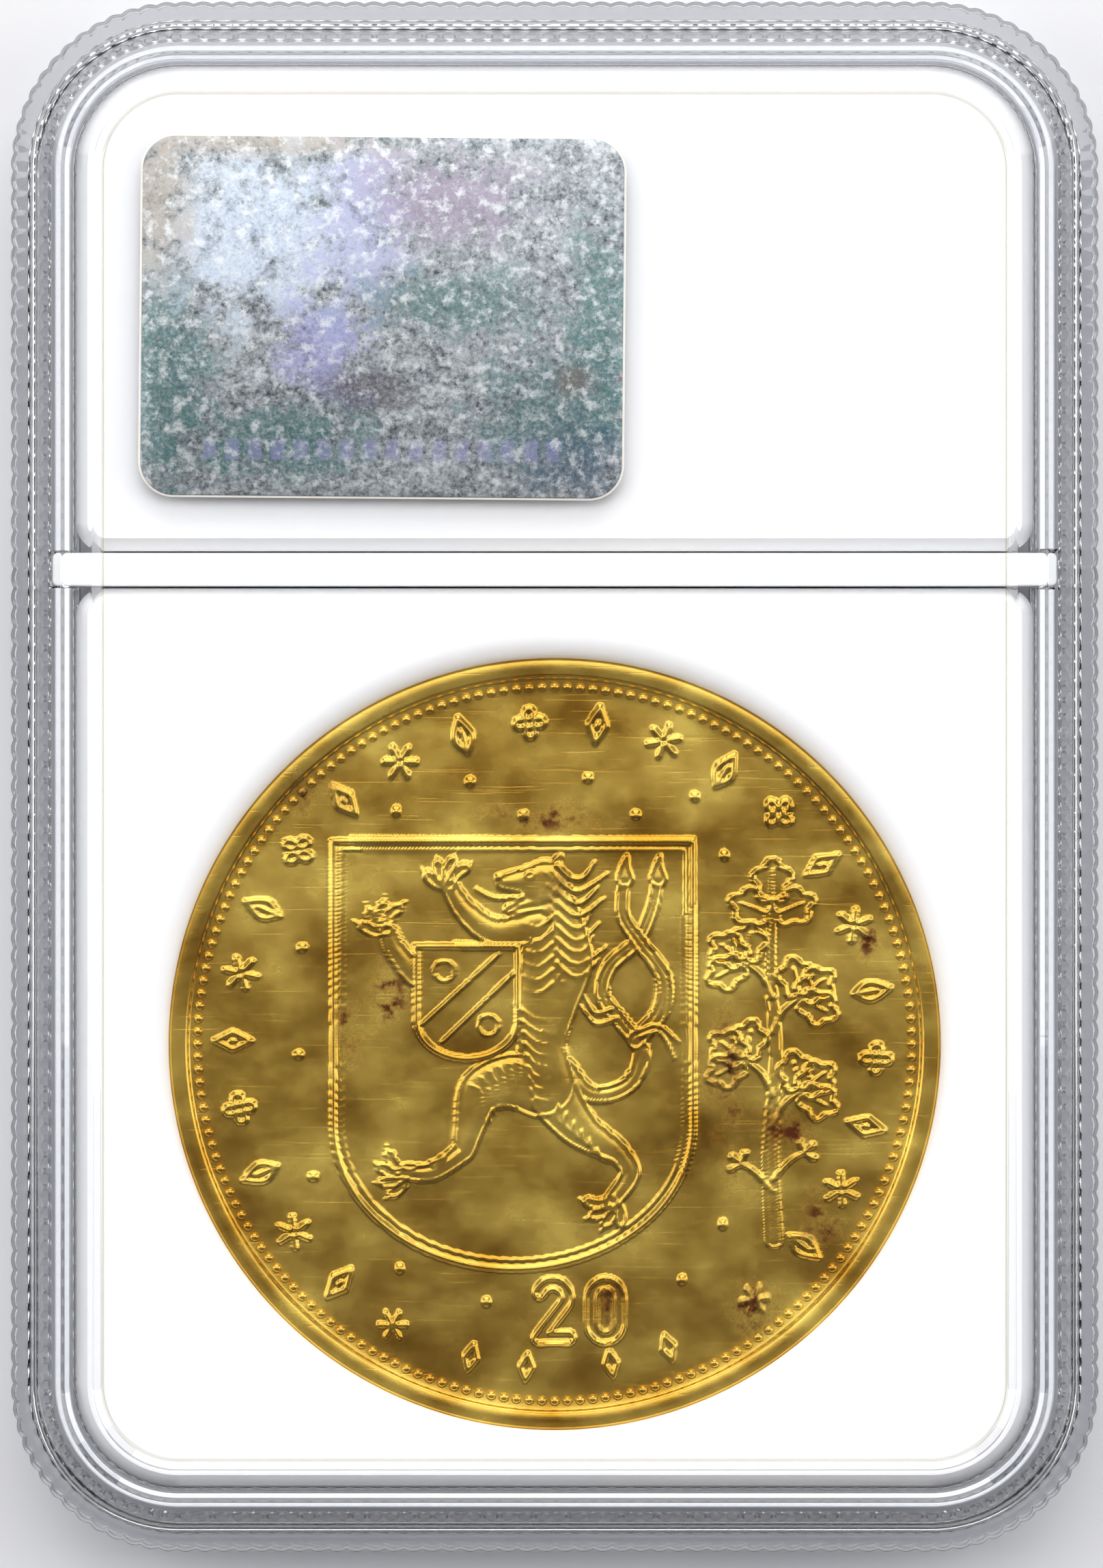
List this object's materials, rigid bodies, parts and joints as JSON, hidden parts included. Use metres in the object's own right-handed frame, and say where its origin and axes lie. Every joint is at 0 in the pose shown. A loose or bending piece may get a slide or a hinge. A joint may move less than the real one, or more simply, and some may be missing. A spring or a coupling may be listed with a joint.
{
  "type": "graded coin slab",
  "caption": "Clear welded holder with a reeded edge and a raised stacking rim, showing a gold coin in a white insert under a label bay with a foil security seal.",
  "frame": {"origin": "centre of the footprint, on the surface that the front rim lies on", "axes": "+X across the width, +Y towards the label end, +Z out of the back face, which carries the security seal"},
  "size_m": [0.059, 0.084, 0.008],
  "materials": {
    "clear_shell": "clear moulded styrene, polished tool",
    "weld_flash": "remelted clear styrene, slightly hazy",
    "white_insert": "satin white moulding",
    "label_paper": "coated card, printed",
    "coin_gold": "struck gold, toned round the relief",
    "seal_glue": "dried adhesive",
    "seal_film": "diffractive foil, scuffed"
  },
  "bodies": {
    "case": {"front_shell": "clear_shell", "rear_shell": "clear_shell", "weld_bead": "weld_flash", "coin_insert": "white_insert", "label_carrier": "white_insert", "divider_bar": "white_insert", "grading_label": "label_paper", "seal_adhesive": "seal_glue", "security_seal": "seal_film"},
    "coin": {"coin": "coin_gold"}
  },
  "joints": [
    {"name": "coin_spin", "type": "hinge", "parent": "case", "child": "coin", "pos_m": [0, -0.0145, 0.004], "axis": [0, 0, 1], "continuous": true}
  ]
}
